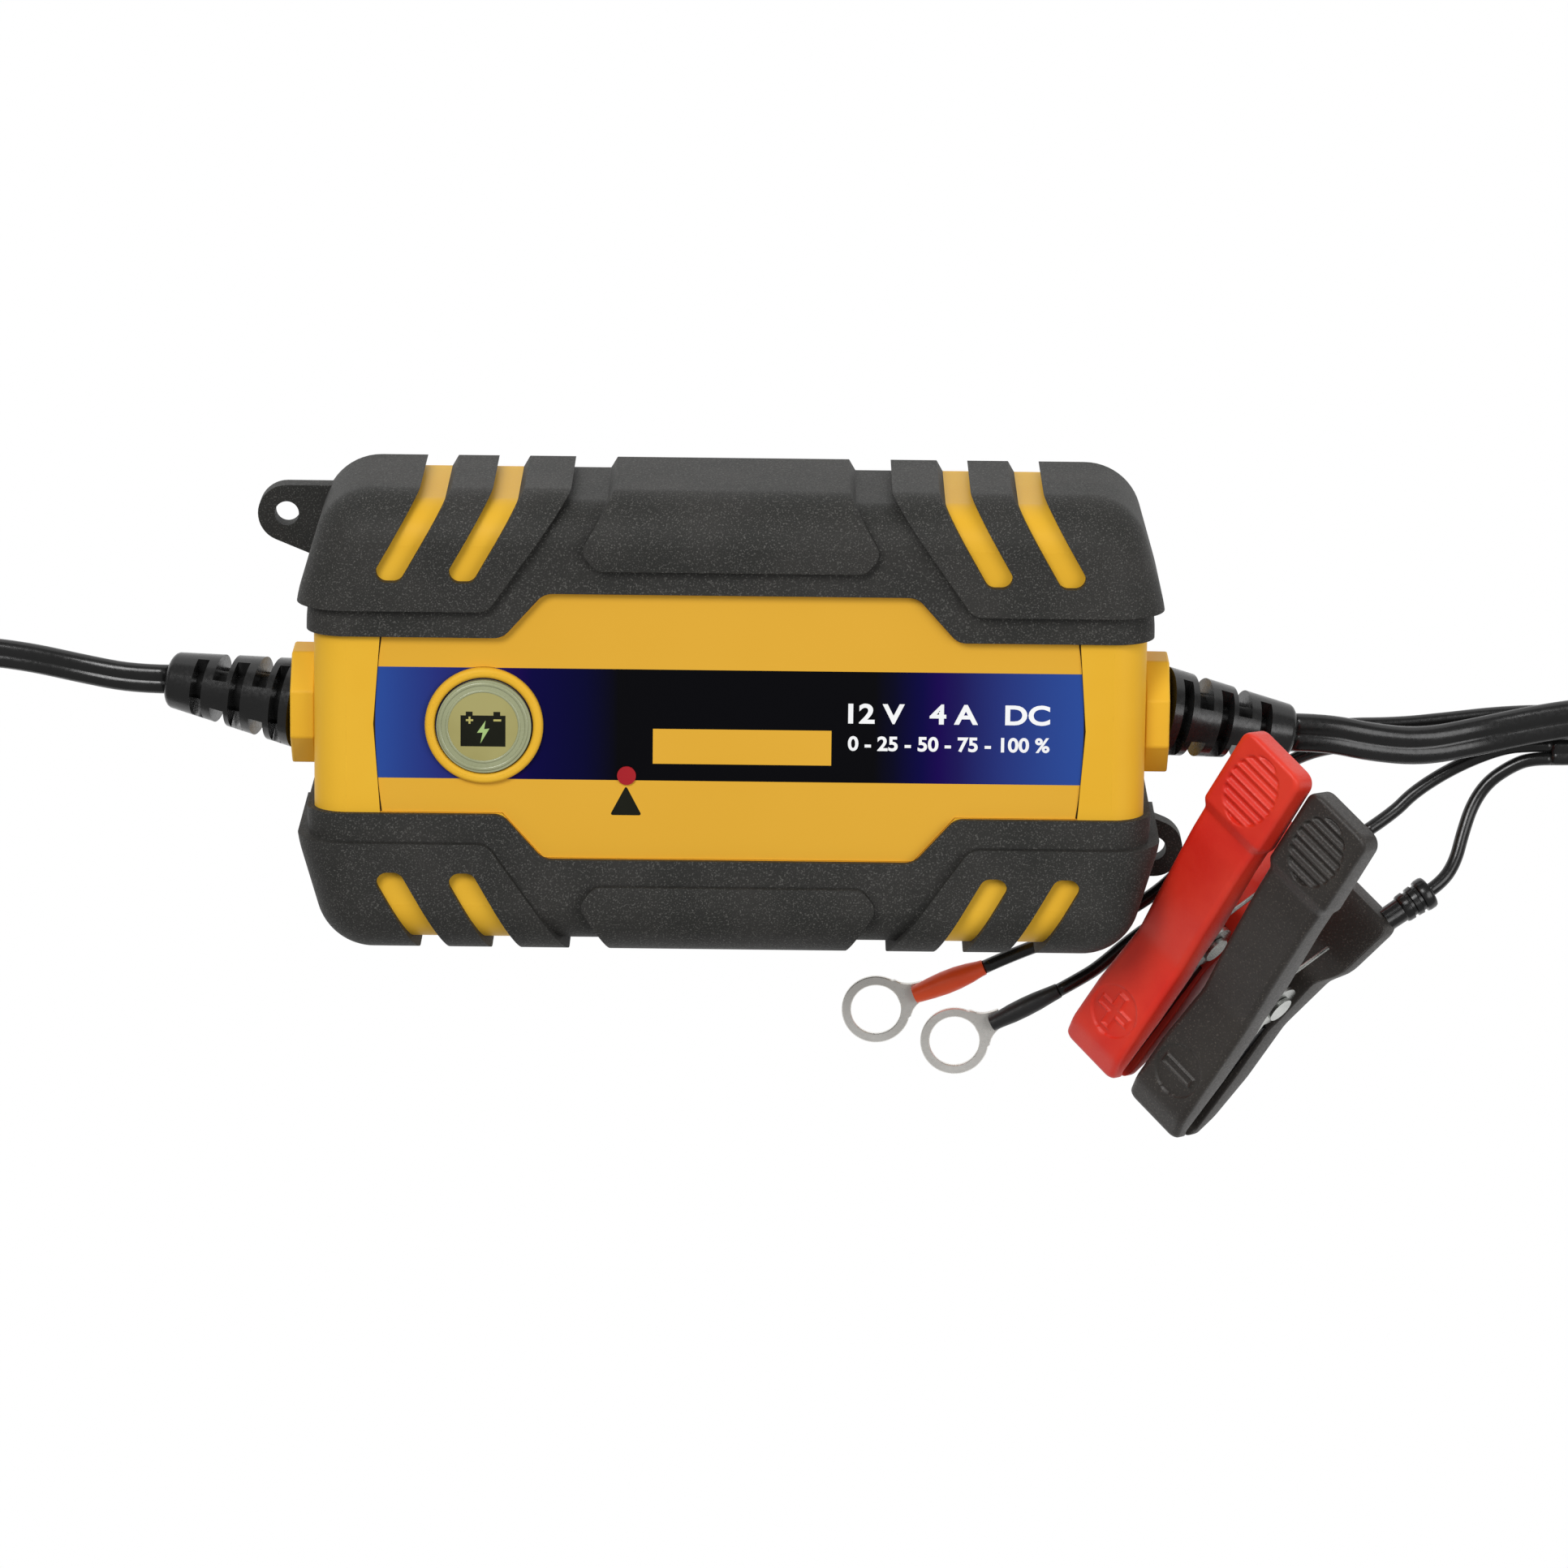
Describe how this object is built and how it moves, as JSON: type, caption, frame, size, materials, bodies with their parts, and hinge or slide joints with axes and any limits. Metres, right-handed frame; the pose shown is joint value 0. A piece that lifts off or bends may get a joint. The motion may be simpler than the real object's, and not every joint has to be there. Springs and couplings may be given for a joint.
{
  "type": "car battery charger",
  "caption": "Automatic car battery charger with ribbed bumpers, status button, mounting ears, mains cord, output lead, battery clamps and ring terminals.",
  "frame": {"origin": "bottom centre of the charger, with its strain reliefs and ears, lying on its back", "axes": "+Z is the way the front panel faces, +X along its length towards the output lead, +Y towards its upper edge"},
  "size_m": [0.5654, 0.1844, 0.0551],
  "materials": {
    "yellow_plastic": "satin moulded",
    "black_bumper": "fine texture",
    "black_plastic": "moulded",
    "red_plastic": "moulded",
    "grey_rubber": "soft",
    "zinc_steel": "zinc plated",
    "black_steel": "blackened",
    "printed_film": "printed film",
    "smoke_plastic": "smoky clear",
    "olive_print": "printed",
    "red_lens": "clear red",
    "green_board": "solder mask",
    "led_plastic": "clear",
    "ferrite": "dull",
    "copper_winding": "enamelled wire",
    "can_sleeve": "shrink sleeve",
    "white_ceramic": "glazed",
    "aluminium": "extruded",
    "black_vinyl": "smooth vinyl",
    "red_vinyl": "smooth vinyl",
    "brass": "plain",
    "tinned_copper": "tinned"
  },
  "bodies": {
    "charger": {"back_cover": "black_plastic", "black_boot": "black_vinyl", "black_clamp_lead": "black_vinyl", "black_clamp_rivet": "zinc_steel", "black_clamp_spring": "zinc_steel", "black_lower_grip": "black_plastic", "black_lower_jaw": "black_steel", "black_ring_lead": "black_vinyl", "black_ring_sleeve": "black_vinyl", "button_bezel": "yellow_plastic", "button_switch": "black_plastic", "case_screws": "zinc_steel", "clamp_connector": "black_plastic", "clamp_lead_pair": "black_vinyl", "cover_seal": "grey_rubber", "display_board": "green_board", "fault_lamp_lens": "red_lens", "filter_capacitors": "can_sleeve", "front_housing": "yellow_plastic", "heat_sink": "aluminium", "indicator_leds": "led_plastic", "label_overlay": "printed_film", "left_gland_collar": "yellow_plastic", "line_choke": "copper_winding", "lower_bumper": "black_bumper", "main_board": "green_board", "mains_cord": "black_vinyl", "mains_cord_coil": "black_vinyl", "mains_fuse": "white_ceramic", "mains_plug": "black_vinyl", "mains_strain_relief": "black_vinyl", "output_connector": "black_plastic", "output_lead": "black_vinyl", "output_lead_coil": "black_vinyl", "output_strain_relief": "black_vinyl", "plug_blades": "brass", "power_transistors": "black_plastic", "red_boot": "red_vinyl", "red_clamp_lead": "black_vinyl", "red_clamp_rivet": "zinc_steel", "red_clamp_spring": "zinc_steel", "red_lower_grip": "red_plastic", "red_lower_jaw": "black_steel", "red_ring_lead": "black_vinyl", "red_ring_sleeve": "red_vinyl", "right_gland_collar": "yellow_plastic", "ring_connector": "black_plastic", "ring_terminals": "tinned_copper", "transformer_core": "ferrite", "transformer_winding": "copper_winding", "upper_bumper": "black_bumper"},
    "button": {"status_button": "smoke_plastic", "symbol_disc": "olive_print", "switch_plunger": "black_plastic"},
    "red_upper_half": {"red_upper_grip": "red_plastic", "red_upper_jaw": "black_steel"},
    "black_upper_half": {"black_upper_grip": "black_plastic", "black_upper_jaw": "black_steel"}
  },
  "joints": [
    {"name": "status_button_press", "type": "slide", "parent": "charger", "child": "button", "axis": [0, 0, -1], "range_m": [0, 0.0008], "stiffness_N_per_m": 300, "springref_m": -0.001},
    {"name": "red_clamp_hinge", "type": "hinge", "parent": "charger", "child": "red_upper_half", "pos_m": [0.09826, -0.04719, 0.0194], "axis": [-0.6512, 0.5562, -0.5163], "range_deg": [0, 30], "stiffness_Nm_per_rad": 0.4, "springref_deg": -17.19, "deforming": ["red_clamp_spring"]},
    {"name": "black_clamp_hinge", "type": "hinge", "parent": "charger", "child": "black_upper_half", "pos_m": [0.1118, -0.0589, 0.0236], "axis": [-0.6512, 0.5562, -0.5163], "range_deg": [0, 30], "stiffness_Nm_per_rad": 0.4, "springref_deg": -17.19, "deforming": ["black_clamp_spring"]}
  ]
}
